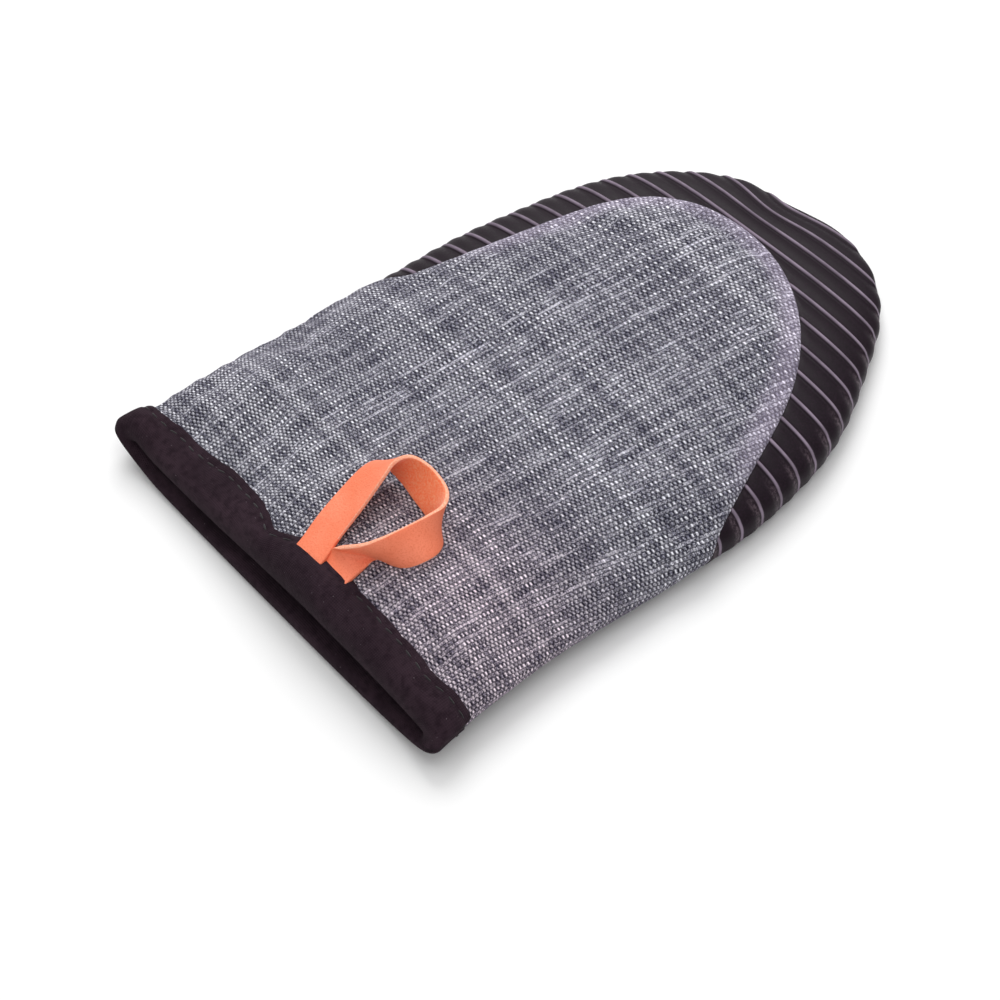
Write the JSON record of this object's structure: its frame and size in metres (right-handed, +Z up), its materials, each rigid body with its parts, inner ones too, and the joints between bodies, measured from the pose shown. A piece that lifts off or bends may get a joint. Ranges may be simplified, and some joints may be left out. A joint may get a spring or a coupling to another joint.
{
  "type": "oven mitt",
  "caption": "Thumbless oven mitt lying flat: padded grey woven back, ribbed black silicone palm and tip, black bound cuff and an orange leather hanging loop.",
  "frame": {"origin": "on the resting surface, under the middle of the mitt", "axes": "+Y from the cuff to the finger tip, +Z up through the thickness from palm to back, X across the width"},
  "size_m": [0.14, 0.22, 0.0334],
  "materials": {
    "back_fabric": "matte",
    "silicone": "satin",
    "binding_tape": "matte",
    "strap_leather": "satin",
    "wadding": "matte",
    "lining": "matte",
    "black_thread": "matte"
  },
  "bodies": {
    "mitt": {"back_panel": "back_fabric", "back_wadding": "wadding", "back_lining": "lining", "palm_sheet": "silicone", "palm_wadding": "wadding", "palm_lining": "lining", "cuff_binding": "binding_tape", "binding_topstitch": "black_thread", "seam_thread": "black_thread", "loop_tails": "strap_leather"},
    "loop": {"hang_loop": "strap_leather"}
  },
  "joints": [
    {"name": "loop_flip", "type": "hinge", "parent": "mitt", "child": "loop", "pos_m": [0.0119, -0.098, 0.0204], "axis": [1, 0, 0], "range_deg": [0, 130]}
  ]
}
